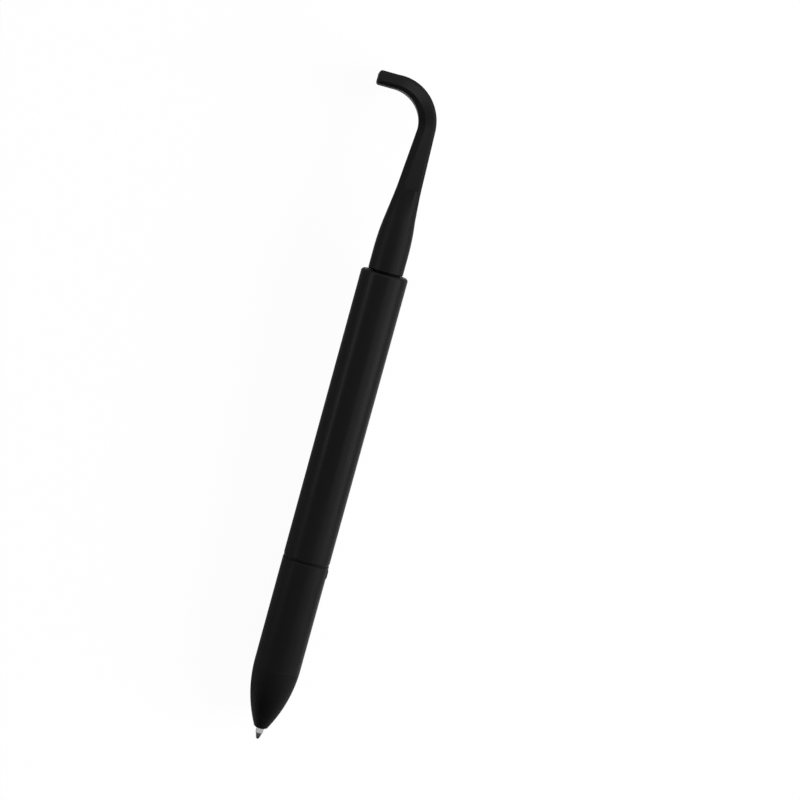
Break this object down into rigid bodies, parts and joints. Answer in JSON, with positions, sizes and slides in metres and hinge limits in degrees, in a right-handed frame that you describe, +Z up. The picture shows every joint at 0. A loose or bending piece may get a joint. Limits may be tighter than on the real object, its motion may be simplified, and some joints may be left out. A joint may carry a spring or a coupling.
{
  "type": "telescopic back-scratcher pen",
  "caption": "Slim twist-action ballpoint pen with a hand-shaped back scratcher on telescoping friction tubes at its upper end.",
  "frame": {"origin": "on the pen axis, in the middle of the lower barrel's grip cylinder", "axes": "+Y along the pen from the writing tip to the scratcher, -X the way the hook reaches, +Z up with the pen lying on its side"},
  "size_m": [0.0223, 0.1854, 0.024],
  "materials": {
    "barrel_black": "satin",
    "head_black": "satin",
    "tube_black": "satin",
    "bush_black": "satin",
    "acetal": "satin",
    "brass": "satin",
    "steel": "satin",
    "rubber": "matte",
    "refill_metal": "satin",
    "tip_metal": "polished",
    "ball_metal": "polished",
    "ink": "gloss",
    "grease": "gloss"
  },
  "bodies": {
    "lower_body": {"lower_barrel": "barrel_black", "nose_cone": "barrel_black"},
    "upper_body": {"upper_barrel": "barrel_black", "barrel_guide_bush": "bush_black", "twist_cam_sleeve": "acetal", "cam_retaining_ring": "steel", "twist_drag_ring": "rubber", "thrust_washer": "bush_black"},
    "refill_body": {"refill_carrier": "acetal", "follower_pin_top": "steel", "follower_pin_bottom": "steel", "refill_tube": "refill_metal", "writing_tip": "tip_metal", "writing_ball": "ball_metal", "ink_column": "ink", "grease_plug": "grease"},
    "middle_ring_body": {"middle_friction_ring": "acetal"},
    "middle_body": {"middle_tube": "tube_black", "middle_tube_bush": "bush_black", "middle_stop_collar": "brass"},
    "inner_ring_body": {"inner_friction_ring": "acetal"},
    "inner_body": {"inner_tube": "tube_black", "inner_stop_collar": "brass", "scratcher_head": "head_black"}
  },
  "joints": [
    {"name": "barrel_twist", "type": "hinge", "parent": "lower_body", "child": "upper_body", "pos_m": [0, 0.01585, 0], "axis": [0, 1, 0], "range_deg": [0, 180]},
    {"name": "refill_slide", "type": "slide", "parent": "lower_body", "child": "refill_body", "axis": [0, 1, 0], "range_m": [0, 0.005]},
    {"name": "middle_slide", "type": "slide", "parent": "upper_body", "child": "middle_ring_body", "axis": [0, 1, 0], "range_m": [0, 0.0493]},
    {"name": "middle_swivel", "type": "hinge", "parent": "middle_ring_body", "child": "middle_body", "pos_m": [0, 0.029, 0], "axis": [0, 1, 0], "continuous": true},
    {"name": "inner_slide", "type": "slide", "parent": "middle_body", "child": "inner_ring_body", "axis": [0, 1, 0], "range_m": [0, 0.0638]},
    {"name": "inner_swivel", "type": "hinge", "parent": "inner_ring_body", "child": "inner_body", "pos_m": [0, 0.028, 0], "axis": [0, 1, 0], "continuous": true}
  ],
  "couplings": [
    {"joint": "refill_slide", "follows": "barrel_twist", "m_per_rad": 0.0015915}
  ]
}
